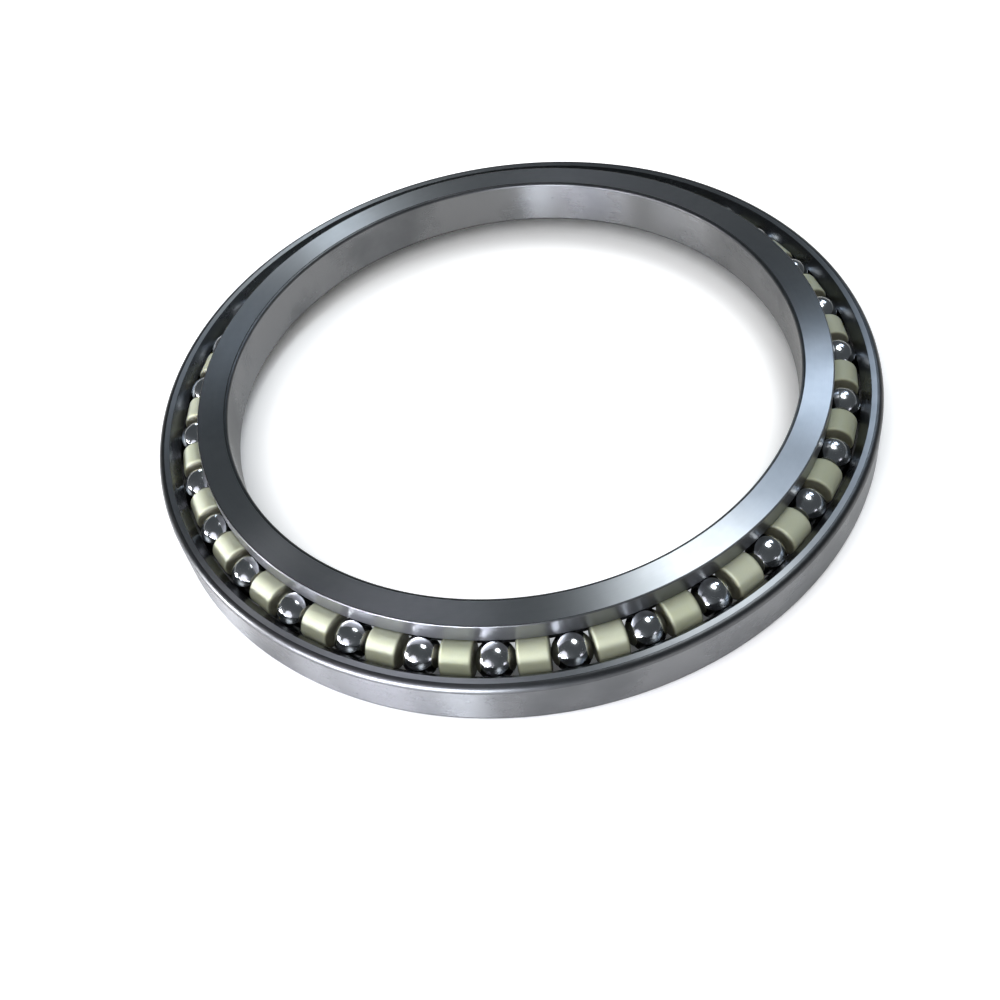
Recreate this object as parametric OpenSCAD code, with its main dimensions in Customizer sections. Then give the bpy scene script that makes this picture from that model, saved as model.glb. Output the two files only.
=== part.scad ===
// Single-row angular contact ball bearing for the travel drive of an excavator.
// Two thin rings, offset along the axis, run on one row of balls. The balls are kept
// apart by loose plastic spacers instead of a cage.
// Millimetres, +Z along the bearing's axis. The outer ring stands on z = 0.

/* [Rings] */
// Diameter of the bore, where the hub sits
bore_d = 246; // [240:0.5:252]
// Diameter of the outside, which sits in the housing
outer_d = 313; // [307:0.5:319]
// Width of each ring along the axis
ring_w = 22; // [21:0.25:24]
// Width of the whole bearing, from the outer ring's back face to the inner ring's
overall_w = 32; // [30:0.25:33]
// Radius of the rounded corners on the outside diameter
outer_corner_r = 2.8; // [1:0.1:3.5]
// Radius of the rounded corners in the bore
bore_corner_r = 1.5; // [0.5:0.1:3]
// Radius of the small edges next to the balls
edge_r = 0.6; // [0.2:0.1:0.8]

/* [Raceways] */
// Angle of the contact line, from the plane of the balls
contact_angle = 40; // [30:1:45]
// Raceway radius as a share of the ball diameter
groove_conformity = 0.52; // [0.515:0.005:0.53]
// Gap between a ball and its raceway on the contact line
race_clearance = 0.1; // [0.05:0.01:0.15]
// Height of the high shoulder over the raceway's bottom, as a share of the ball diameter
shoulder_share = 0.28; // [0.2:0.01:0.32]
// How far each raceway runs past its deepest point, to hold the balls in
lip_angle = 8; // [4:1:12]
// How far each ring opens from that lip to its thin front, as a share of the ball diameter
relief_share = 0.23; // [0.16:0.01:0.28]

/* [Balls and spacers] */
// Diameter of the balls, as a share of the height between the bore and the outside
ball_share = 0.474; // [0.43:0.001:0.5]
// Number of balls, with as many spacers
ball_count = 31; // [29:1:31]
// Angle of the first ball from the X axis
first_ball_angle = 5.1; // [0:0.1:12]
// How much thinner a spacer is than the balls
spacer_slack = 1.075; // [0.8:0.025:2]
// Radius of the rounded rims of a spacer
spacer_rim_r = 1.4; // [0.4:0.1:2]
// Depth of the hollow seat in each end of a spacer
seat_depth = 0.2; // [0.1:0.1:0.6]
// Radius of that seat, as a share of the ball diameter
seat_conformity = 0.6; // [0.55:0.01:0.7]
// Gap between a ball and the bottom of a seat
seat_clearance = 0.1; // [0.05:0.01:0.2]
// How far the spacers ride outside the straight line between two balls
spacer_drift = 0.3; // [0:0.05:0.4]

/* [Hidden] */
pitch_r = (bore_d + outer_d) / 4;
wall = outer_d / 2 - pitch_r;
ball_z = overall_w / 2;
step = 360 / ball_count;

// Balls are made in steps of a thirty-second of an inch
ball_size_step = 25.4 / 32;
ball_d = ball_size_step * round(ball_share * 2 * wall / ball_size_step);
ball_r = ball_d / 2;

// Raceway circle, seen from the pitch circle and from each ring's own back face
groove_r = groove_conformity * ball_d;
groove_shift = groove_r - ball_r - race_clearance;
groove_x = -groove_shift * cos(contact_angle);
groove_y = ball_z + groove_shift * sin(contact_angle);

// Inner face of the high shoulder, and how far the thin front opens past the lip
shoulder_x = groove_x + groove_r - shoulder_share * ball_d;
relief_w = relief_share * ball_d;

// Spacers: two balls leave this much room between them, on the line through their centres
ball_room = 2 * pitch_r * sin(step / 2) - ball_d;
seat_web = ball_room - 2 * seat_clearance;
seat_r = seat_conformity * ball_d;
spacer_l = seat_web + 2 * seat_depth;
spacer_d = ball_d - spacer_slack;
spacer_path_r = pitch_r * cos(step / 2) + spacer_drift;
spacer_nodes = ceil(ball_count / 2);

ring_fn = 180;
ball_fn = 60;
corner_fn = 48;

function two_digits(i) = i < 10 ? str("0", i) : str(i);
function ball_name(i) = str("ball_", two_digits(i));
function spacers_name(i) = str("spacers_", two_digits(i));

// What a rounded corner leaves out of a sharp one. The corner is at the origin, its
// flesh towards +X and +Y.
module corner_waste(r) {
    difference() {
        translate([-1, -1])
            square(r + 1);
        translate([r, r])
            circle(r, $fn = corner_fn);
    }
}

// Section of one ring: x outwards from the pitch circle, y from the ring's back face.
// The high shoulder is at the back face and the thin side at the front face.
module ring_section(far_corner_r) {
    lip = [groove_x + groove_r * cos(lip_angle), groove_y + groove_r * sin(lip_angle)];
    front = [lip[0] + relief_w, ring_w];
    // The relief's slope runs on past the lip, into what the groove takes away
    slope_end = lip + 0.5 * (lip - front);
    difference() {
        polygon([
            [shoulder_x, 0],
            [wall, 0],
            [wall, ring_w],
            front,
            slope_end,
            [shoulder_x, slope_end[1]]
        ]);
        translate([groove_x, groove_y])
            circle(groove_r, $fn = ring_fn);
        translate([wall, 0])
            mirror([1, 0])
                corner_waste(far_corner_r);
        translate([wall, ring_w])
            mirror([1, 0])
                mirror([0, 1])
                    corner_waste(far_corner_r);
        translate([shoulder_x, 0])
            corner_waste(edge_r);
    }
}

module outer_ring() {
    color([0.60, 0.60, 0.63])
        rotate_extrude($fn = ring_fn)
            translate([pitch_r, 0])
                ring_section(outer_corner_r);
}

// The same section the other way round: back face up, far side in the bore
module inner_ring() {
    color([0.55, 0.57, 0.62])
        rotate_extrude($fn = ring_fn)
            translate([pitch_r, overall_w])
                rotate(180)
                    ring_section(bore_corner_r);
}

module ball(i) {
    color([0.75, 0.76, 0.78])
        rotate(first_ball_angle + (i - 1) * step)
            translate([pitch_r, 0, ball_z])
                sphere(ball_r, $fn = ball_fn);
}

// Half section of a spacer: x from its own axis, y along it, with a hollow in each end
module spacer_section() {
    difference() {
        translate([0, -spacer_l / 2])
            square([spacer_d / 2, spacer_l]);
        for (end = [-1, 1]) {
            translate([0, end * (seat_web / 2 + seat_r)])
                circle(seat_r, $fn = ring_fn);
            translate([spacer_d / 2, end * spacer_l / 2])
                mirror([1, 0])
                    mirror([0, end > 0 ? 1 : 0])
                        corner_waste(spacer_rim_r);
        }
    }
}

// Spacer i lies between ball i and the next one, its axis along the row
module spacer(i) {
    color([0.80, 0.79, 0.66])
        rotate(first_ball_angle + (i - 0.5) * step)
            translate([spacer_path_r, 0, ball_z])
                rotate([90, 0, 0])
                    rotate_extrude($fn = ball_fn)
                        spacer_section();
}

// Two neighbouring spacers share a node. An odd one is alone in the last node.
module spacers(i) {
    for (j = [2 * i - 1 : min(2 * i, ball_count)])
        spacer(j);
}

outer_ring();
inner_ring();
for (i = [1 : ball_count])
    ball(i);
for (i = [1 : spacer_nodes])
    spacers(i);
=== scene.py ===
"""Dresses the excavator travel bearing: two ground steel rings, a row of polished
steel balls and the nylon spacers between them, on a pale studio floor.

Sizes are in millimetres where a name says so, and in metres everywhere else.
"""

import logging
import math
from dataclasses import dataclass, field
from enum import Enum
from typing import Any

import bmesh
import bpy
import numpy as np
from mathutils import Matrix, Vector


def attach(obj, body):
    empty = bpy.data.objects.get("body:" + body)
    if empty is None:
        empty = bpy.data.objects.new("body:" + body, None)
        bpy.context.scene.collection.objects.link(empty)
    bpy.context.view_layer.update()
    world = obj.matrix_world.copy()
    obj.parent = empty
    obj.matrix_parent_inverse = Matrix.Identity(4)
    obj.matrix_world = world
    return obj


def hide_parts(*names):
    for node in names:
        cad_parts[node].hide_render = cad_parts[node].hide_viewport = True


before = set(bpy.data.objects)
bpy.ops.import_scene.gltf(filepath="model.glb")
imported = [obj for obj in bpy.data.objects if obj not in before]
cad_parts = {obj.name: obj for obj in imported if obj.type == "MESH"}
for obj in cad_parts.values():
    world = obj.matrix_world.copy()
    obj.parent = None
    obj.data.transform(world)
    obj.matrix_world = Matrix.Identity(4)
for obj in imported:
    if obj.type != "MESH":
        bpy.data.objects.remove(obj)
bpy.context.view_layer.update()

log = logging.getLogger("bearing")
MM = 0.001
WHITE = (1.0, 1.0, 1.0, 1.0)
BALL_COUNT = 31
BALL_MM = 15.875
BALL_HEIGHT_MM = 16.0
PITCH_RADIUS_MM = 139.75
FIRST_BALL_DEG = 5.1
# A point nearer to the axis than this, in metres, is a pole of a turned mesh
POLE_RADIUS = 1e-9


class Surface(Enum):
    """The kinds of surface on the turned pieces."""

    FACE = "ground face"
    WALL = "ground outside or bore"
    LAND = "ground front face"
    CORNER = "turned and hardened corner"
    EDGE = "broken edge"
    SHOULDER = "ground shoulder"
    RACEWAY = "honed raceway"
    RELIEF = "turned relief"
    MOULDED = "moulded plastic"


# Node helpers


class Graph:
    """One node tree and the single way in which nodes are added to it."""

    def __init__(self, tree: bpy.types.NodeTree) -> None:
        """Starts with an empty tree.

        Args:
            tree: The tree that gets the nodes. What it holds is cleared.
        """
        self.tree = tree
        tree.nodes.clear()

    def node(self, kind: str, settings: dict[str, Any] | None = None,
             inputs: dict[int | str, Any] | None = None) -> bpy.types.Node:
        """Adds a node, sets it, and then gives its sockets their values or links.

        Args:
            kind: The node's type, such as ShaderNodeMath.
            settings: The node's own properties, such as a Math node's operation.
            inputs: Values, sockets or Scalars by socket name or index.

        Returns:
            The new node.
        """
        made = self.tree.nodes.new(kind)
        for name, value in (settings or {}).items():
            setattr(made, name, value)
        for key, value in (inputs or {}).items():
            self.feed(made.inputs[key], value)
        return made

    def feed(self, socket: bpy.types.NodeSocket, value: Any) -> None:
        """Links a socket or a Scalar to an input, or sets a plain value on it.

        Args:
            socket: The input.
            value: A socket, a Scalar or a plain value.
        """
        if isinstance(value, Scalar):
            value = value.socket
        if isinstance(value, bpy.types.NodeSocket):
            self.tree.links.new(value, socket)
        else:
            socket.default_value = value

    def scalar(self, socket: bpy.types.NodeSocket) -> "Scalar":
        """Wraps an output so that Python's arithmetic works on it.

        Args:
            socket: The output that carries the number.

        Returns:
            The number as a Scalar.
        """
        return Scalar(self, socket)


class Scalar:
    """A number that varies over a surface. Arithmetic on it adds Math nodes."""

    def __init__(self, graph: Graph, socket: bpy.types.NodeSocket) -> None:
        """Keeps what the number comes from.

        Args:
            graph: The graph that gets the further nodes.
            socket: The output that carries the number.
        """
        self.graph = graph
        self.socket = socket

    def math(self, operation: str, *others: Any) -> "Scalar":
        """Adds one Math node that starts from this number.

        Args:
            operation: The Math node's operation.
            others: The further inputs, as numbers or Scalars.

        Returns:
            The result as a Scalar.
        """
        inputs = dict(enumerate((self, *others)))
        made = self.graph.node("ShaderNodeMath", {"operation": operation}, inputs)
        return Scalar(self.graph, made.outputs[0])

    def _flipped(self, operation: str, first: float) -> "Scalar":
        """The same with a plain number as the first input."""
        made = self.graph.node("ShaderNodeMath", {"operation": operation},
                               {0: first, 1: self})
        return Scalar(self.graph, made.outputs[0])

    def __add__(self, other: Any) -> "Scalar":
        """This number plus another."""
        return self.math("ADD", other)

    __radd__ = __add__

    def __sub__(self, other: Any) -> "Scalar":
        """This number less another."""
        return self.math("SUBTRACT", other)

    def __rsub__(self, other: float) -> "Scalar":
        """A plain number less this one."""
        return self._flipped("SUBTRACT", other)

    def __mul__(self, other: Any) -> "Scalar":
        """This number times another."""
        return self.math("MULTIPLY", other)

    def __truediv__(self, other: Any) -> "Scalar":
        """This number over another."""
        return self.math("DIVIDE", other)

    def ramp(self, low: float, high: float) -> "Scalar":
        """0 at low, 1 at high and a smooth step between.

        Args:
            low: Where it is 0. It may be the larger of the two.
            high: Where it is 1.

        Returns:
            The step as a Scalar.
        """
        made = self.graph.node(
            "ShaderNodeMapRange", {"interpolation_type": "SMOOTHSTEP"},
            {0: self, 1: min(low, high), 2: max(low, high),
             3: 0.0 if low < high else 1.0, 4: 1.0 if low < high else 0.0})
        return Scalar(self.graph, made.outputs[0])


def socket_id(tree: bpy.types.NodeTree, name: str) -> str:
    """The identifier of a tree's named input, which a modifier is set by.

    Args:
        tree: The tree.
        name: The input's name.

    Returns:
        Its identifier.
    """
    return next(item.identifier for item in tree.interface.items_tree
                if item.in_out == "INPUT" and item.name == name)


# Finishes


class Shader(Graph):
    """A material's graph, with what every finish here needs."""

    def __init__(self, name: str) -> None:
        """Makes the material and its output.

        Args:
            name: The material's name.
        """
        self.material = bpy.data.materials.new(name)
        self.material.use_nodes = True
        super().__init__(self.material.node_tree)
        self.output = self.node("ShaderNodeOutputMaterial")
        self.place = self.node("ShaderNodeTexCoord").outputs["Object"]

    def attribute(self, name: str) -> Scalar:
        """A number that the mesh carries.

        Args:
            name: The attribute's name.

        Returns:
            The number as a Scalar.
        """
        made = self.node("ShaderNodeAttribute", {"attribute_name": name})
        return self.scalar(made.outputs["Fac"])

    def noise(self, vector: Any, scale: float, detail: float = 3.0,
              roughness: float = 0.55) -> Scalar:
        """Plain 3D noise from 0 to 1.

        Args:
            vector: The place that it is read at.
            scale: Features per metre.
            detail: Octaves.
            roughness: How strong the finer octaves are.

        Returns:
            The noise as a Scalar.
        """
        made = self.node("ShaderNodeTexNoise", None,
                         {"Vector": vector, "Scale": scale, "Detail": detail,
                          "Roughness": roughness})
        return self.scalar(made.outputs["Fac"])

    def bump(self, height: Scalar, distance: float) -> bpy.types.NodeSocket:
        """A normal from a height.

        Args:
            height: The height from 0 to 1.
            distance: Its full depth in metres.

        Returns:
            The normal's socket.
        """
        made = self.node("ShaderNodeBump", None,
                         {"Height": height, "Distance": distance, "Strength": 1.0})
        return made.outputs["Normal"]

    def mix(self, factor: Any, first: Any, second: Any) -> bpy.types.NodeSocket:
        """A colour between two colours.

        Args:
            factor: 0 for the first colour and 1 for the second.
            first: The first colour.
            second: The second colour.

        Returns:
            The colour's socket.
        """
        made = self.node("ShaderNodeMix", {"data_type": "RGBA"},
                         {0: factor, 6: first, 7: second})
        return made.outputs[2]

    def tone(self, colour: Any, factor: Any) -> bpy.types.NodeSocket:
        """A colour made lighter or darker.

        Args:
            colour: The colour, plain or as a socket.
            factor: What it is multiplied by.

        Returns:
            The colour's socket.
        """
        if isinstance(colour, tuple):
            colour = colour[:3]
        made = self.node("ShaderNodeVectorMath", {"operation": "SCALE"},
                         {0: colour, "Scale": factor})
        return made.outputs[0]

    def principled(self, **inputs: Any) -> bpy.types.Material:
        """Adds the main shader and links it to the output.

        Args:
            inputs: Its inputs by name, with underscores for spaces.

        Returns:
            The finished material.
        """
        named = {name.replace("_", " "): value for name, value in inputs.items()}
        main = self.node("ShaderNodeBsdfPrincipled", None, named)
        self.tree.links.new(main.outputs[0], self.output.inputs["Surface"])
        return self.material


def rgba(colour: tuple[float, float, float]) -> tuple[float, float, float, float]:
    """A colour with full alpha.

    Args:
        colour: Red, green and blue.

    Returns:
        The same with a fourth value of 1.
    """
    return (*colour, 1.0)


@dataclass(frozen=True)
class Lay:
    """How far a tool's marks spread light across themselves, and how they run."""

    spread: float
    turn: float = 0.25


@dataclass(frozen=True)
class SurfaceLook:
    """How one kind of ring surface differs from the next."""

    lay: str
    roughness: float
    shade: float


@dataclass(frozen=True)
class RingSteel:
    """Through-hardened ring steel with a thin oil film, by the lay that the tool left."""

    colour: tuple[float, float, float] = (0.66, 0.675, 0.70)
    dark_colour: tuple[float, float, float] = (0.36, 0.39, 0.42)
    lays: dict[str, Lay] = field(default_factory=lambda: {
        "face_ground": Lay(0.90), "land_ground": Lay(0.85, 0.24), "wall_ground": Lay(1.0),
        "turned": Lay(0.3)})
    # The shades scale the steel colour for each kind of surface. The low ones are painted
    # shade: the raceway and relief are darkened for the shade down in the gap between the
    # rings, and the corners and edges to damp the bright lines that the lamps draw on them
    looks: dict[Surface, SurfaceLook] = field(default_factory=lambda: {
        Surface.FACE: SurfaceLook("face_ground", 0.30, 1.10),
        Surface.WALL: SurfaceLook("wall_ground", 0.26, 0.32),
        Surface.LAND: SurfaceLook("land_ground", 0.42, 0.76),
        Surface.CORNER: SurfaceLook("turned", 0.38, 0.18),
        Surface.EDGE: SurfaceLook("turned", 0.34, 0.26),
        Surface.SHOULDER: SurfaceLook("turned", 0.34, 0.42),
        Surface.RACEWAY: SurfaceLook("turned", 0.17, 0.18),
        Surface.RELIEF: SurfaceLook("turned", 0.26, 0.24),
    })
    grain_round: float = 5.0
    grain_across: float = 1800.0
    grain_depth: float = 1e-6
    grain_dulls: float = 0.2
    grain_shades: float = 0.08
    swirl_radius: float = 0.13
    swirl_pitch: float = 11.0
    swirl_scale: float = 420.0
    swirl_dulls: float = 0.04
    swirl_shades: float = 0.06
    film_scale: float = 22.0
    film_range: tuple[float, float] = (0.42, 0.72)
    film_dulls: float = 0.04
    film_shades: float = 0.04
    film_darkens: float = 0.4
    least_shade: float = 0.94

    def materials(self) -> dict[str, bpy.types.Material]:
        """Builds one material for each lay.

        Returns:
            The materials by the name of their lay.
        """
        return {name: self._material(name, lay) for name, lay in self.lays.items()}

    def _material(self, name: str, lay: Lay) -> bpy.types.Material:
        """The steel of one lay, which reads roughness and shade from each face.

        Args:
            name: The lay's name.
            lay: How it spreads light.

        Returns:
            The material.
        """
        s = Shader(f"ring_steel_{name}")
        split = s.node("ShaderNodeSeparateXYZ", None, {0: s.place})
        x, y, z = (s.scalar(split.outputs[i]) for i in range(3))
        radius = (x * x + y * y).math("SQRT")
        grain = self._grain(s, (x, y, z), radius)
        swirl_turn = (radius - self.swirl_radius) * self.swirl_pitch
        swirled = s.node("ShaderNodeVectorRotate", {"rotation_type": "Z_AXIS"},
                         {"Vector": s.place, "Angle": swirl_turn})
        swirl = s.noise(swirled.outputs[0], self.swirl_scale, 4.0, 0.7)
        film = s.noise(s.place, self.film_scale, 4.0, 0.6).ramp(*self.film_range)
        dulled = 1.0 - self.grain_dulls / 2 + grain * self.grain_dulls
        roughness = (s.attribute("roughness") * dulled
                     + film * self.film_dulls + (swirl - 0.5) * self.swirl_dulls)
        marked = self.least_shade + grain * self.grain_shades + swirl * self.swirl_shades
        shade = s.attribute("shade") * marked - film * self.film_shades
        oiled = s.mix(film * self.film_darkens, rgba(self.colour), rgba(self.dark_colour))
        return s.principled(
            Base_Color=s.tone(oiled, shade), Metallic=1.0, Roughness=roughness,
            Anisotropic=lay.spread, Anisotropic_Rotation=lay.turn,
            Normal=s.bump(grain, self.grain_depth))

    def _grain(self, s: Shader, place: tuple[Scalar, Scalar, Scalar],
               radius: Scalar) -> Scalar:
        """Fine marks that run round the axis, long that way and thin across.

        Args:
            s: The material's graph.
            place: The three coordinates.
            radius: The distance from the axis.

        Returns:
            The marks from 0 to 1.
        """
        x, y, z = place
        round_axis = s.node("ShaderNodeCombineXYZ", None,
                            {0: x / radius * self.grain_round,
                             1: y / radius * self.grain_round, 2: z * self.grain_across})
        made = s.node("ShaderNodeTexNoise", {"noise_dimensions": "4D"},
                      {"Vector": round_axis.outputs[0], "W": radius * self.grain_across,
                       "Scale": 1.0, "Detail": 4.0, "Roughness": 0.65})
        return s.scalar(made.outputs["Fac"])


@dataclass(frozen=True)
class BallSteel:
    """Bearing balls: lapped to a mirror, with faint smears of oil."""

    colour: tuple[float, float, float] = (0.95, 0.96, 0.98)
    roughness: float = 0.15
    film_scale: float = 160.0
    film_range: tuple[float, float] = (0.45, 0.7)
    film_shades: float = 0.08
    film_dulls: float = 0.05
    pore_scale: float = 2500.0
    pore_range: tuple[float, float] = (0.62, 0.75)
    pore_share: float = 0.1
    pore_depth: float = 1.5e-6

    def material(self) -> bpy.types.Material:
        """Builds the material.

        Returns:
            The mirror-like steel of the balls.
        """
        s = Shader("ball_steel")
        film = s.noise(s.place, self.film_scale, 3.0).ramp(*self.film_range)
        pores = s.noise(s.place, self.pore_scale, 2.0).ramp(*self.pore_range)
        shade = 1.0 - film * self.film_shades - pores * self.pore_share
        roughness = self.roughness + film * self.film_dulls + pores * self.pore_share
        return s.principled(
            Base_Color=s.tone(rgba(self.colour), shade), Metallic=1.0,
            Roughness=roughness, Normal=s.bump(pores, self.pore_depth))


@dataclass(frozen=True)
class SpacerNylon:
    """Ivory nylon, nearly matt and a little translucent."""

    colour: tuple[float, float, float] = (0.42, 0.435, 0.33)
    olive: tuple[float, float, float] = (0.35, 0.37, 0.265)
    # Painted reflection: a warm brown for the grease in the groove, mirrored on the spacers'
    # lower part
    groove_reflection: tuple[float, float, float] = (0.50, 0.30, 0.16)
    # The colour of the painted shade, partly real oil, on the end faces that face the balls
    shade_and_oil_colour: tuple[float, float, float] = (0.075, 0.07, 0.05)
    cloud_scale: float = 90.0
    grain_scale: float = 1500.0
    grain_depth: float = 4e-6
    piece_share: float = 0.55
    cloud_share: float = 0.3
    olive_range: tuple[float, float] = (0.2, 0.9)
    groove_reflection_mm: tuple[float, float] = (14, 8.5)
    groove_reflection_range: tuple[float, float] = (0.3, 0.7)
    groove_reflection_share: float = 0.45
    least_shade_and_oil: float = 0.75
    roughness: float = 0.50
    grain_dulls: float = 0.12
    grain_shades: float = 0.1

    def material(self) -> bpy.types.Material:
        """Builds the material.

        Returns:
            The nylon, a little different on each spacer.
        """
        s = Shader("spacer_nylon")
        cloud = s.noise(s.place, self.cloud_scale, 3.0)
        grain = s.noise(s.place, self.grain_scale, 3.0, 0.6)
        height = s.scalar(s.node("ShaderNodeSeparateXYZ", None, {0: s.place}).outputs[2])
        toned = s.attribute("piece_tone") * self.piece_share + cloud * self.cloud_share
        colour = s.mix(toned.ramp(*self.olive_range), rgba(self.colour), rgba(self.olive))
        # Painted reflection: the lower part of each spacer is tinted warm brown for the grease
        # in the groove below it, none above the first height and full below the second
        none_above, full_below = self.groove_reflection_mm
        low = height.ramp(none_above * MM, full_below * MM) * cloud.ramp(*self.groove_reflection_range)
        colour = s.mix(low * self.groove_reflection_share, colour, rgba(self.groove_reflection))
        # Painted shade, partly real oil: the end faces turned towards the balls are darkened
        # for the shade in the narrow gap between spacer and ball
        end_darkening = s.attribute("end_shade_and_oil") * (self.least_shade_and_oil + cloud * (1 - self.least_shade_and_oil))
        speckled = 1.0 - self.grain_shades / 2 + grain * self.grain_shades
        colour = s.mix(end_darkening, s.tone(colour, speckled), rgba(self.shade_and_oil_colour))
        return s.principled(
            Base_Color=colour, Roughness=self.roughness + grain * self.grain_dulls,
            Subsurface_Weight=0.6, Subsurface_Radius=(1.0, 0.9, 0.6),
            Subsurface_Scale=0.003, IOR=1.53, Specular_IOR_Level=0.2,
            Coat_Weight=0.05, Coat_Roughness=0.22,
            Normal=s.bump(grain, self.grain_depth))


# Sections


@dataclass
class Run:
    """A stretch of a section's outline with one finish."""

    points: np.ndarray
    normals: np.ndarray
    surface: Surface

    @staticmethod
    def straight(start: tuple[float, float], end: tuple[float, float],
                 surface: Surface) -> "Run":
        """A straight stretch, with the flesh on its left.

        Args:
            start: Where it starts, in millimetres.
            end: Where it ends.
            surface: Its finish.

        Returns:
            The run.
        """
        points = np.array([start, end], float)
        along = (points[1] - points[0]) / np.linalg.norm(points[1] - points[0])
        normal = np.array([along[1], -along[0]])
        return Run(points, np.array([normal, normal]), surface)

    @staticmethod
    def arc(centre: tuple[float, float], radius: float, start: float, end: float,
            steps: int, surface: Surface) -> "Run":
        """A hollow arc, turned clockwise about a centre that lies outside the flesh.

        Args:
            centre: The centre, in millimetres.
            radius: The radius.
            start: The angle where it starts, in degrees.
            end: The angle where it ends.
            steps: How many facets it gets.
            surface: Its finish.

        Returns:
            The run.
        """
        angles = np.radians(np.linspace(start, end, steps + 1))
        spokes = np.stack([np.cos(angles), np.sin(angles)], 1)
        return Run(np.array(centre) + radius * spokes, -spokes, surface)


@dataclass
class Outline:
    """A section's outline, built from runs with a rounded corner after each."""

    closed: bool
    points: list[np.ndarray] = field(default_factory=list)
    normals: list[np.ndarray] = field(default_factory=list)
    surfaces: list[Surface] = field(default_factory=list)

    def build(self, runs: list[Run], corners: list[tuple[float, int, Surface]]) -> "Outline":
        """Joins the runs.

        Args:
            runs: The runs in order, each starting where the last one ends.
            corners: For the corner after each run, its radius, facets and finish.

        Returns:
            The outline itself.
        """
        count = len(runs)
        starts: list[Run | None] = [None] * count
        cuts = [[0.0, 0.0] for _ in runs]
        for i, (radius, facets, surface) in enumerate(corners):
            after = (i + 1) % count
            starts[after] = self._corner(runs[i], runs[after], radius, facets, surface)
            reach = float(np.linalg.norm(starts[after].points[0] - runs[i].points[-1]))
            cuts[i][1] = cuts[after][0] = reach
        for run, corner, (first, last) in zip(runs, starts, cuts):
            if corner is not None:
                self._add(corner)
                self.surfaces[-1] = run.surface
            self._add(self._trimmed(run, first, last))
        if not self.closed:
            self.points.append(runs[-1].points[-1])
            self.normals.append(runs[-1].normals[-1])
        return self

    @staticmethod
    def _corner(before: Run, after: Run, radius: float, facets: int,
                surface: Surface) -> Run:
        """The arc that rounds the corner between two runs.

        Args:
            before: The run that ends at the corner.
            after: The run that starts there.
            radius: The arc's radius.
            facets: How many facets it gets.
            surface: Its finish.

        Returns:
            The arc as a run.
        """
        meet = before.points[-1]
        along = meet - before.points[-2]
        along = along / np.linalg.norm(along)
        start, end = before.normals[-1], after.normals[0]
        turn = math.acos(max(-1.0, min(1.0, float(start @ end))))
        origin = meet - radius * math.tan(turn / 2) * along - radius * start
        angles = math.atan2(start[1], start[0]) + np.linspace(0, turn, facets + 1)
        spokes = np.stack([np.cos(angles), np.sin(angles)], 1)
        return Run(origin + radius * spokes, spokes, surface)

    @staticmethod
    def _trimmed(run: Run, first: float, last: float) -> Run:
        """The run without what its two rounded corners took away.

        Args:
            run: The run.
            first: What is cut at its start.
            last: What is cut at its end.

        Returns:
            What is left of it.
        """
        keep = np.linalg.norm(run.points - run.points[0], axis=1) > first
        keep &= np.linalg.norm(run.points - run.points[-1], axis=1) > last
        if first == 0.0:
            keep[0] = True
        return Run(run.points[keep], run.normals[keep], run.surface)

    def _add(self, run: Run) -> None:
        """Appends a run's points. Each point carries the finish of the stretch after it."""
        self.points.extend(run.points)
        self.normals.extend(run.normals)
        self.surfaces.extend([run.surface] * len(run.points))


@dataclass
class RingSection:
    """The section that both rings share, from the pitch circle and the back face."""

    wall_mm: float = 16.75
    width_mm: float = 22.0
    ball_height_mm: float = BALL_HEIGHT_MM
    ball_mm: float = BALL_MM
    groove_share: float = 0.52
    clearance_mm: float = 0.1
    contact_deg: float = 40.0
    shoulder_share: float = 0.28
    lip_deg: float = 8.0
    relief_share: float = 0.23
    edge_mm: float = 0.6
    broken_mm: float = 0.2
    groove_facets: int = 28
    corner_facets: int = 14
    edge_facets: int = 7
    step_facets: int = 5
    lip_facets: int = 4

    def outline(self, far_corner_mm: float) -> Outline:
        """The outline of one ring's section.

        Args:
            far_corner_mm: The radius of the two corners away from the balls.

        Returns:
            The closed outline, in millimetres from the pitch circle and back face.
        """
        groove = self.groove_share * self.ball_mm
        shift = groove - self.ball_mm / 2 - self.clearance_mm
        contact = math.radians(self.contact_deg)
        centre = (-shift * math.cos(contact),
                  self.ball_height_mm + shift * math.sin(contact))
        lip_angle = math.radians(self.lip_deg)
        lip = (centre[0] + groove * math.cos(lip_angle),
               centre[1] + groove * math.sin(lip_angle))
        front = (lip[0] + self.relief_share * self.ball_mm, self.width_mm)
        shoulder = centre[0] + groove - self.shoulder_share * self.ball_mm
        drop = math.degrees(math.acos((shoulder - centre[0]) / groove))
        step = (shoulder, centre[1] - groove * math.sin(math.radians(drop)))
        runs = [
            Run.straight((shoulder, 0), (self.wall_mm, 0), Surface.FACE),
            Run.straight((self.wall_mm, 0), (self.wall_mm, self.width_mm), Surface.WALL),
            Run.straight((self.wall_mm, self.width_mm), front, Surface.LAND),
            Run.straight(front, lip, Surface.RELIEF),
            Run.arc(centre, groove, self.lip_deg, -drop, self.groove_facets,
                    Surface.RACEWAY),
            Run.straight(step, (shoulder, 0), Surface.SHOULDER),
        ]
        corners = [
            (far_corner_mm, self.corner_facets, Surface.CORNER),
            (far_corner_mm, self.corner_facets, Surface.CORNER),
            (self.broken_mm, self.lip_facets, Surface.EDGE),
            (self.broken_mm, self.lip_facets, Surface.EDGE),
            (self.broken_mm, self.step_facets, Surface.EDGE),
            (self.edge_mm, self.edge_facets, Surface.EDGE),
        ]
        return Outline(closed=True).build(runs, corners)


# Meshes


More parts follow.
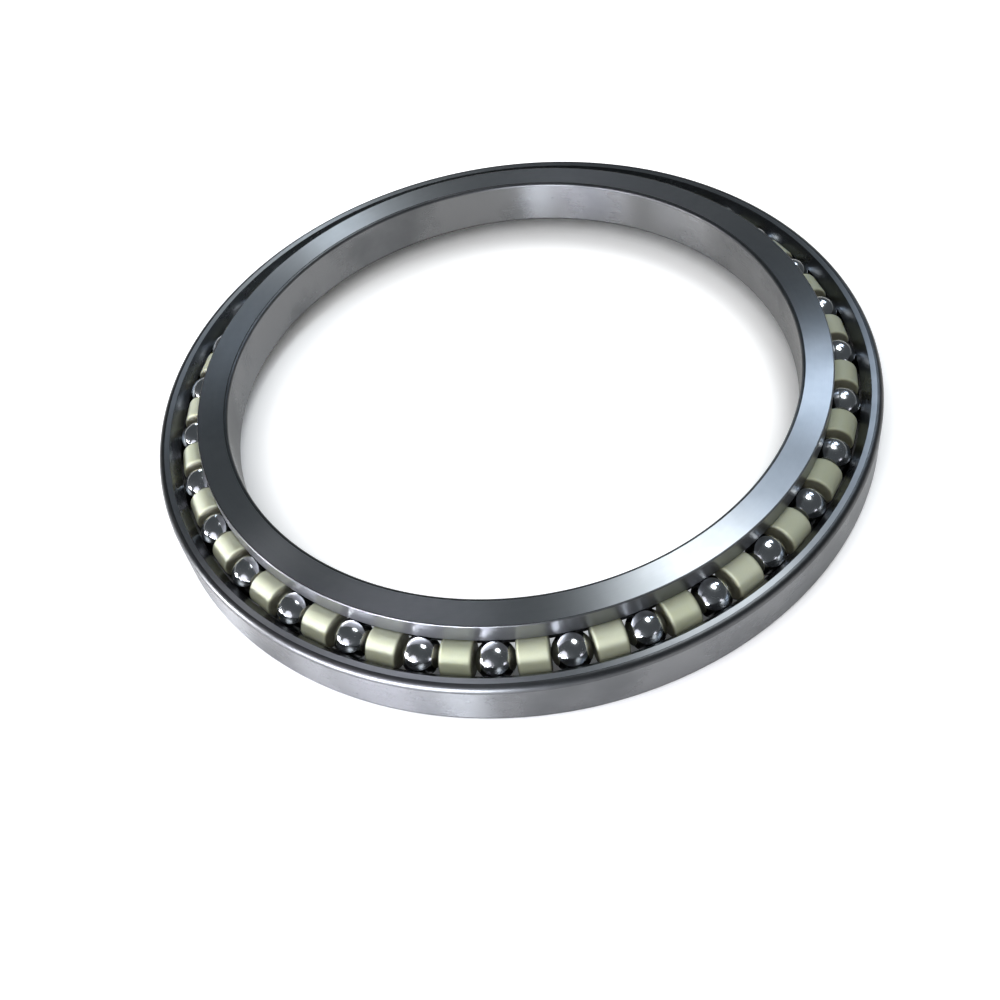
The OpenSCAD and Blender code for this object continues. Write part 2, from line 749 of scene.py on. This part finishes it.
def lathe(name: str, outline: Outline, steps: int) -> bpy.types.Mesh:
    """Turns an outline in millimetres round the Z axis.

    Args:
        name: The mesh's name.
        outline: Radius and height of each point. Ends at radius 0 become poles.
        steps: How many facets go round.

    Returns:
        The closed mesh in metres, smooth, with its exact normals.
    """
    points = np.array(outline.points) * MM
    normals = np.array(outline.normals)
    angles = np.linspace(0, 2 * math.pi, steps, endpoint=False)
    spokes = np.stack([np.cos(angles), np.sin(angles)], 1)
    places, directions, rows = [], [], []
    for (radius, height), (out, up) in zip(points, normals):
        if radius < POLE_RADIUS:
            rows.append([len(places)] * steps)
            places.append((0.0, 0.0, height))
            directions.append((0.0, 0.0, math.copysign(1.0, up)))
            continue
        rows.append(list(range(len(places), len(places) + steps)))
        places.extend((radius * c, radius * s, height) for c, s in spokes)
        directions.extend((out * c, out * s, up) for c, s in spokes)
    faces, kinds = [], []
    bands = len(rows) if outline.closed else len(rows) - 1
    for i in range(bands):
        low, high = rows[i], rows[(i + 1) % len(rows)]
        for j in range(steps):
            k = (j + 1) % steps
            corners = [low[j], low[k], high[k], high[j]]
            faces.append(list(dict.fromkeys(corners)))
            kinds.append(outline.surfaces[i])
    mesh = bpy.data.meshes.new(name)
    mesh.from_pydata(places, [], faces)
    mesh.shade_smooth()
    mesh.normals_split_custom_set_from_vertices(directions)
    mesh["surfaces"] = [list(Surface).index(kind) for kind in kinds]
    return mesh


def link(name: str, mesh: bpy.types.Mesh) -> bpy.types.Object:
    """Puts a mesh into the scene as an object at the origin.

    Args:
        name: The object's name.
        mesh: Its mesh.

    Returns:
        The object.
    """
    made = bpy.data.objects.new(name, mesh)
    bpy.context.scene.collection.objects.link(made)
    return made


# Assemblies


@dataclass
class Ring:
    """One of the two rings."""

    piece: str
    node: str
    body: str
    far_corner_mm: float
    upside_down: bool
    section: RingSection = field(default_factory=RingSection)
    pitch_radius_mm: float = PITCH_RADIUS_MM
    overall_mm: float = 32.0
    steps: int = 720

    def build(self) -> bpy.types.Mesh:
        """Turns the section into the ring's mesh, in its place.

        Returns:
            The mesh.
        """
        outline = self.section.outline(self.far_corner_mm)
        side = -1.0 if self.upside_down else 1.0
        base = np.array([self.pitch_radius_mm, self.overall_mm if self.upside_down else 0.0])
        outline.points = [base + side * point for point in outline.points]
        outline.normals = [side * normal for normal in outline.normals]
        return lathe(self.piece, outline, self.steps)

    def dress(self, mesh: bpy.types.Mesh, steel: RingSteel,
              materials: dict[str, bpy.types.Material]) -> bpy.types.Object:
        """Gives the mesh its finish and hands it to its body.

        Args:
            mesh: The ring's mesh.
            steel: The finish, which says how each kind of surface looks.
            materials: The finish's materials by lay.

        Returns:
            The piece.
        """
        kinds = list(Surface)
        looks = [steel.looks[kinds[i]] for i in mesh["surfaces"]]
        for name in ("roughness", "shade"):
            values = [getattr(look, name) for look in looks]
            layer = mesh.attributes.new(name, "FLOAT", "FACE")
            layer.data.foreach_set("value", values)
        lays = list(materials)
        for material in materials.values():
            mesh.materials.append(material)
        mesh.polygons.foreach_set(
            "material_index", [lays.index(look.lay) for look in looks])
        del mesh["surfaces"]
        made = link(self.piece, mesh)
        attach(made, self.body)
        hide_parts(self.node)
        return made


class RowTree:
    """Geometry Nodes that set copies of a mesh in a circle round the axis."""

    SEED = 31
    EVERY = -1

    def __init__(self) -> None:
        """Builds the tree with its named inputs."""
        self.tree = bpy.data.node_groups.new("row_round_axis", "GeometryNodeTree")
        self._sockets()
        self._nodes(Graph(self.tree))

    def _sockets(self) -> None:
        """Adds the tree's inputs and output."""
        face = self.tree.interface
        face.new_socket("Geometry", in_out="OUTPUT", socket_type="NodeSocketGeometry")
        for name, kind in (("Geometry", "Geometry"), ("Count", "Int"), ("Only", "Int"),
                           ("First Angle", "Float"), ("Path Radius", "Float"),
                           ("Height", "Float"), ("Material", "Material")):
            face.new_socket(name, in_out="INPUT", socket_type=f"NodeSocket{kind}")

    def _nodes(self, g: Graph) -> None:
        """Adds the nodes: points on the circle, the copies, and one material."""
        start = g.node("NodeGroupInput").outputs
        index = g.scalar(g.node("GeometryNodeInputIndex").outputs[0])
        turn = index * (2 * math.pi) / g.scalar(start["Count"]) + start["First Angle"]
        radius = g.scalar(start["Path Radius"])
        place = g.node("ShaderNodeCombineXYZ", None,
                       {0: turn.math("COSINE") * radius, 1: turn.math("SINE") * radius,
                        2: start["Height"]})
        points = g.node("GeometryNodePoints", None,
                        {"Count": start["Count"], "Position": place.outputs[0]})
        chance = g.node("FunctionNodeRandomValue", {"data_type": "FLOAT"},
                        {"ID": index, "Seed": self.SEED})
        toned = self._store(g, points.outputs[0], "piece_tone", chance.outputs[1])
        turned = self._store(g, toned, "turn", turn)
        only = g.scalar(start["Only"])
        one_wanted = only.math("GREATER_THAN", self.EVERY)
        unwanted = one_wanted * (index - only).math("ABSOLUTE")
        kept = g.node("GeometryNodeDeleteGeometry", {"domain": "POINT"},
                      {"Geometry": turned, "Selection": unwanted})
        angle = g.node("GeometryNodeInputNamedAttribute", {"data_type": "FLOAT"},
                       {"Name": "turn"})
        facing = g.node("ShaderNodeCombineXYZ", None, {2: angle.outputs[0]})
        euler = g.node("FunctionNodeEulerToRotation", None, {0: facing.outputs[0]})
        copies = g.node("GeometryNodeInstanceOnPoints", None,
                        {"Points": kept.outputs[0], "Instance": start["Geometry"],
                         "Rotation": euler.outputs[0]})
        real = g.node("GeometryNodeRealizeInstances", None, {0: copies.outputs[0]})
        clean = g.node("GeometryNodeRemoveAttribute", None,
                       {"Geometry": real.outputs[0], "Name": "turn"})
        painted = g.node("GeometryNodeSetMaterial", None,
                         {"Geometry": clean.outputs[0], "Material": start["Material"]})
        g.node("NodeGroupOutput", None, {0: painted.outputs[0]})

    @staticmethod
    def _store(g: Graph, geometry: bpy.types.NodeSocket, name: str,
               value: Any) -> bpy.types.NodeSocket:
        """Stores one number on each point under a name.

        Args:
            g: The tree's graph.
            geometry: The points.
            name: The attribute's name.
            value: The number.

        Returns:
            The points' socket, with the number on them.
        """
        made = g.node("GeometryNodeStoreNamedAttribute",
                      {"data_type": "FLOAT", "domain": "POINT"},
                      {"Geometry": geometry, "Name": name, "Value": value})
        return made.outputs[0]

    def make(self, name: str, base: bpy.types.Mesh,
             settings: dict[str, Any]) -> bpy.types.Mesh:
        """Runs the tree on a mesh and returns the result as a plain mesh.

        Args:
            name: The name of the new mesh.
            base: The mesh that is copied.
            settings: The tree's inputs by name.

        Returns:
            The plain mesh, in place.
        """
        carrier = link(name + "_carrier", base)
        modifier = carrier.modifiers.new("row", "NODES")
        modifier.node_group = self.tree
        for key, value in settings.items():
            modifier[socket_id(self.tree, key)] = value
        bpy.context.view_layer.update()
        seen = carrier.evaluated_get(bpy.context.evaluated_depsgraph_get())
        made = bpy.data.meshes.new_from_object(seen)
        made.name = name
        carrier.modifiers.remove(modifier)
        bpy.data.objects.remove(carrier)
        return made


@dataclass
class BallRow:
    """The row of balls. Each one rolls by itself, so each is its own piece."""

    count: int = BALL_COUNT
    diameter_mm: float = BALL_MM
    pitch_radius_mm: float = PITCH_RADIUS_MM
    height_mm: float = BALL_HEIGHT_MM
    first_deg: float = FIRST_BALL_DEG
    smoothness: int = 5

    def build(self) -> bpy.types.Mesh:
        """One ball at the origin.

        Returns:
            The mesh that the row copies.
        """
        shell = bmesh.new()
        bmesh.ops.create_icosphere(shell, subdivisions=self.smoothness,
                                   radius=self.diameter_mm / 2 * MM)
        mesh = bpy.data.meshes.new("ball")
        shell.to_mesh(mesh)
        shell.free()
        mesh.shade_smooth()
        return mesh

    def dress(self, ball: bpy.types.Mesh, row: RowTree,
              material: bpy.types.Material) -> list[bpy.types.Object]:
        """Sets the balls in their places.

        Args:
            ball: The mesh of one ball.
            row: The tree that places it.
            material: The balls' finish.

        Returns:
            One piece for each ball.
        """
        made = []
        for i in range(self.count):
            number = f"{i + 1:02d}"
            mesh = row.make(f"steel_ball_{number}", ball, {
                "Count": self.count, "Only": i, "Material": material,
                "First Angle": math.radians(self.first_deg),
                "Path Radius": self.pitch_radius_mm * MM, "Height": self.height_mm * MM})
            piece = link(mesh.name, mesh)
            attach(piece, f"ball_{number}_body")
            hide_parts(f"ball_{number}")
            made.append(piece)
        return made


@dataclass
class SpacerRow:
    """The nylon spacers between the balls."""

    count: int = BALL_COUNT
    diameter_mm: float = 14.8
    length_mm: float = 12.6015
    rim_mm: float = 1.4
    seat_radius_mm: float = 9.525
    seat_depth_mm: float = 0.2
    seat_edge_mm: float = 0.3
    seat_facets: int = 6
    seat_edge_facets: int = 3
    rim_facets: int = 9
    shade_and_oil_from: float = 0.5
    shade_and_oil_to: float = 0.9
    path_radius_mm: float = 139.333
    height_mm: float = BALL_HEIGHT_MM
    first_deg: float = FIRST_BALL_DEG
    steps: int = 72

    def build(self) -> bpy.types.Mesh:
        """One spacer at the origin, its axis along Y.

        Returns:
            The mesh that the row copies.
        """
        half, radius = self.length_mm / 2, self.diameter_mm / 2
        centre = half - self.seat_depth_mm + self.seat_radius_mm
        spread = math.acos(1 - self.seat_depth_mm / self.seat_radius_mm)
        seat_edge = self.seat_radius_mm * math.sin(spread)
        tilt = math.degrees(spread)
        runs = [
            Run.arc((0, -centre), self.seat_radius_mm, 90, 90 - tilt, self.seat_facets,
                    Surface.MOULDED),
            Run.straight((seat_edge, -half), (radius, -half), Surface.MOULDED),
            Run.straight((radius, -half), (radius, half), Surface.MOULDED),
            Run.straight((radius, half), (seat_edge, half), Surface.MOULDED),
            Run.arc((0, centre), self.seat_radius_mm, tilt - 90, -90, self.seat_facets,
                    Surface.MOULDED),
        ]
        seat = (self.seat_edge_mm, self.seat_edge_facets, Surface.MOULDED)
        rim = (self.rim_mm, self.rim_facets, Surface.MOULDED)
        corners = [seat, rim, rim, seat]
        mesh = lathe("spacer", Outline(closed=False).build(runs, corners), self.steps)
        del mesh["surfaces"]
        # Each face gets a share of the painted shade and oil by how squarely it faces a ball
        facing_ball = np.array([abs(face.normal.z) for face in mesh.polygons])
        share = (facing_ball - self.shade_and_oil_from) / (self.shade_and_oil_to - self.shade_and_oil_from)
        end_shade_and_oil = mesh.attributes.new("end_shade_and_oil", "FLOAT", "FACE")
        end_shade_and_oil.data.foreach_set("value", np.clip(share, 0.0, 1.0))
        mesh.transform(Matrix.Rotation(math.pi / 2, 4, "X"))
        return mesh

    def dress(self, spacer: bpy.types.Mesh, row: RowTree,
              material: bpy.types.Material) -> bpy.types.Object:
        """Sets the spacers between the balls, as one piece that rides on the train.

        Args:
            spacer: The mesh of one spacer.
            row: The tree that places it.
            material: The spacers' finish.

        Returns:
            The piece.
        """
        mesh = row.make("nylon_spacers", spacer, {
            "Count": self.count, "Only": row.EVERY, "Material": material,
            "First Angle": math.radians(self.first_deg + 180 / self.count),
            "Path Radius": self.path_radius_mm * MM, "Height": self.height_mm * MM})
        piece = link(mesh.name, mesh)
        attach(piece, "ball_train")
        nodes = [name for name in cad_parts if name.startswith("spacers_")]
        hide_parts(*sorted(nodes))
        return piece


# Studio


@dataclass
class Viewpoint:
    """The camera at the photograph's view."""

    distance_mm: float = 568.6
    elevation_deg: float = 46.06
    lift_rad: float = 0.0656
    pan_rad: float = -0.0246
    roll_rad: float = 0.1718
    lens_mm: float = 45.546
    sensor_mm: float = 36.0
    clip: tuple[float, float] = (0.01, 50.0)

    def build(self) -> bpy.types.Object:
        """Places the camera and makes it the scene's.

        Returns:
            The camera.
        """
        height = math.radians(self.elevation_deg)
        place = Vector((0, -math.cos(height), math.sin(height))) * self.distance_mm * MM
        right, back = Vector((1, 0, 0)), place.normalized()
        look = Matrix((right, back.cross(right), back))
        aim = Vector((self.lift_rad, self.pan_rad, 0))
        look = Matrix.Rotation(aim.length, 3, aim.normalized()) @ look
        look = Matrix.Rotation(self.roll_rad, 3, "Z") @ look
        data = bpy.data.cameras.new("camera")
        data.lens, data.sensor_width = self.lens_mm, self.sensor_mm
        data.clip_start, data.clip_end = self.clip
        made = bpy.data.objects.new("camera", data)
        made.matrix_world = Matrix.Translation(place) @ look.transposed().to_4x4()
        bpy.context.scene.collection.objects.link(made)
        bpy.context.scene.camera = made
        return made


@dataclass(frozen=True)
class Softbox:
    """A soft lamp, aimed at the middle of the bearing. Its sizes are in metres.

    A lamp that isn't mirrored lights the nylon and the floor but not the steel.
    """

    name: str
    azimuth_deg: float
    elevation_deg: float
    distance: float
    width: float
    height: float
    watts: float
    colour: tuple[float, float, float] = (1.0, 1.0, 1.0)
    mirrored: bool = True

    def build(self) -> bpy.types.Object:
        """Hangs the lamp.

        Returns:
            The lamp.
        """
        azimuth, elevation = math.radians(self.azimuth_deg), math.radians(self.elevation_deg)
        towards = Vector((math.cos(azimuth) * math.cos(elevation),
                          math.sin(azimuth) * math.cos(elevation), math.sin(elevation)))
        data = bpy.data.lights.new(self.name, "AREA")
        data.shape, data.size, data.size_y = "ELLIPSE", self.width, self.height
        data.energy, data.color = self.watts, self.colour
        made = bpy.data.objects.new(self.name, data)
        made.location = towards * self.distance
        made.rotation_mode = "QUATERNION"
        made.rotation_quaternion = towards.to_track_quat("Z", "Y")
        made.visible_camera = False
        made.visible_glossy = self.mirrored
        bpy.context.scene.collection.objects.link(made)
        return made


@dataclass
class Studio:
    """Floor, backdrop and lamps."""

    floor_half: float = 6.0
    floor_colour: tuple[float, float, float] = (0.80, 0.80, 0.80)
    shadow_reach: float = 0.03
    floor_glow: tuple[float, float, float] = (0.95, 0.95, 0.95)
    floor_in_steel: tuple[float, float, float] = (0.56, 0.535, 0.50)
    room: tuple[float, float, float] = (0.052, 0.058, 0.062)
    backdrop: tuple[float, float, float] = (0.26, 0.27, 0.27)
    backdrop_top: float = 0.20
    shadow_samples: int = 8
    lamps: tuple[Softbox, ...] = (
        Softbox("ceiling", 35, 70, 1.6, 0.66, 0.46, 5.6, (0.95, 1.0, 1.02)),
        Softbox("right_window", 43, 42, 1.6, 0.42, 0.34, 2.3, (0.82, 0.98, 1.18)),
        Softbox("back_panel", 55, 57, 1.6, 0.28, 0.28, 0.6, (0.82, 0.98, 1.18)),
        Softbox("back_window", 104, 12, 1.6, 0.20, 0.34, 1.3, (0.86, 1.0, 1.12)),
        Softbox("left_sill", 184, 5, 1.6, 0.28, 0.24, 6.5, (1.0, 0.99, 1.0)),
        Softbox("middle_sill", 191, 6, 0.475, 0.12, 0.09, 0.8, (0.98, 0.98, 1.04)),
        Softbox("corner_sill", 214, 6, 0.53, 0.10, 0.10, 1.1, (0.96, 0.96, 1.04)),
        Softbox("front_sill", 230, 6, 0.585, 0.22, 0.11, 3.2, (0.96, 0.96, 1.08)),
        Softbox("side_sill", 247, 6, 0.72, 0.14, 0.13, 4.0, (0.93, 0.97, 1.05)),
        Softbox("front_pane", 226, 21, 0.60, 0.34, 0.36, 0.25, (0.96, 0.96, 1.06)),
        Softbox("front_right", 310, 10, 1.6, 0.45, 0.50, 0.6, (0.96, 0.96, 1.06)),
        Softbox("front_fill", 266, 52, 1.6, 1.30, 1.00, 13.0, (1.0, 1.0, 1.0), False),
    )

    def build(self) -> None:
        """Makes the floor, the world and the lamps."""
        self._floor()
        self._world()
        for lamp in self.lamps:
            lamp.build()

    def _floor(self) -> None:
        """A pale floor: white to the camera, warm grey in the steel, with its shadow."""
        h = self.floor_half
        mesh = bpy.data.meshes.new("floor")
        mesh.from_pydata([(-h, -h, 0), (h, -h, 0), (h, h, 0), (-h, h, 0)], [], [(0, 1, 2, 3)])
        s = Shader("floor_paint")
        speckle = s.noise(s.place, 40.0)
        paint = s.tone(rgba(self.floor_colour), 0.98 + speckle * 0.04)
        matt = s.node("ShaderNodeBsdfDiffuse", None, {"Color": paint})
        path = s.node("ShaderNodeLightPath").outputs
        seen = s.scalar(path["Is Camera Ray"]).math("MAXIMUM", path["Is Glossy Ray"])
        seen = seen.math("MAXIMUM", path["Is Transmission Ray"])
        nearby = s.node("ShaderNodeAmbientOcclusion", {"samples": self.shadow_samples},
                        {"Distance": self.shadow_reach})
        open_floor = s.scalar(nearby.outputs["AO"])
        colour = s.mix(path["Is Camera Ray"], rgba(self.floor_in_steel), rgba(self.floor_glow))
        glow = s.node("ShaderNodeEmission", None,
                      {"Color": colour, "Strength": seen * open_floor * open_floor})
        both = s.node("ShaderNodeAddShader", None, {0: matt.outputs[0], 1: glow.outputs[0]})
        clear = s.node("ShaderNodeBsdfTransparent")
        behind = s.node("ShaderNodeNewGeometry").outputs["Backfacing"]
        shown = s.node("ShaderNodeMixShader", None,
                       {0: behind, 1: both.outputs[0], 2: clear.outputs[0]})
        s.tree.links.new(shown.outputs[0], s.output.inputs["Surface"])
        mesh.materials.append(s.material)
        link("floor", mesh)

    def _world(self) -> None:
        """White to the camera. The steel mirrors a dim room over a pale backdrop."""
        world = bpy.data.worlds.new("studio")
        bpy.context.scene.world = world
        world.use_nodes = True
        g = Graph(world.node_tree)
        path = g.node("ShaderNodeLightPath").outputs
        way = g.node("ShaderNodeTexCoord").outputs["Generated"]
        height = g.scalar(g.node("ShaderNodeSeparateXYZ", None, {0: way}).outputs[2])
        mirrored = g.scalar(path["Is Glossy Ray"]).math("MAXIMUM", path["Is Transmission Ray"])
        backdrop = g.node("ShaderNodeMix", {"data_type": "RGBA"},
                          {0: mirrored * height.ramp(self.backdrop_top, 0.0),
                           6: rgba(self.room), 7: rgba(self.backdrop)})
        shown = g.node("ShaderNodeMix", {"data_type": "RGBA"},
                       {0: path["Is Camera Ray"], 6: backdrop.outputs[2], 7: WHITE})
        sky = g.node("ShaderNodeBackground", None, {"Color": shown.outputs[2], "Strength": 1.0})
        g.node("ShaderNodeOutputWorld", None, {"Surface": sky.outputs[0]})


# Main


def main() -> None:
    """Builds the camera, the bearing and the studio, in that order."""
    logging.basicConfig(level=logging.INFO, format="%(name)s: %(message)s")
    Viewpoint().build()
    steel = RingSteel()
    ring_materials = steel.materials()
    rings = (
        Ring("ground_outer_ring", "outer_ring", "fixed_ring",
             far_corner_mm=2.8, upside_down=False),
        Ring("ground_inner_ring", "inner_ring", "turning_ring",
             far_corner_mm=1.5, upside_down=True),
    )
    pieces = [ring.dress(ring.build(), steel, ring_materials) for ring in rings]
    row = RowTree()
    balls = BallRow()
    pieces += balls.dress(balls.build(), row, BallSteel().material())
    spacers = SpacerRow()
    pieces.append(spacers.dress(spacers.build(), row, SpacerNylon().material()))
    for piece in pieces:
        log.info("%s: %d faces", piece.name, len(piece.data.polygons))
    Studio().build()
    bpy.context.scene.view_settings.view_transform = "Standard"
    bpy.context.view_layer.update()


if __name__ == "__main__":
    main()
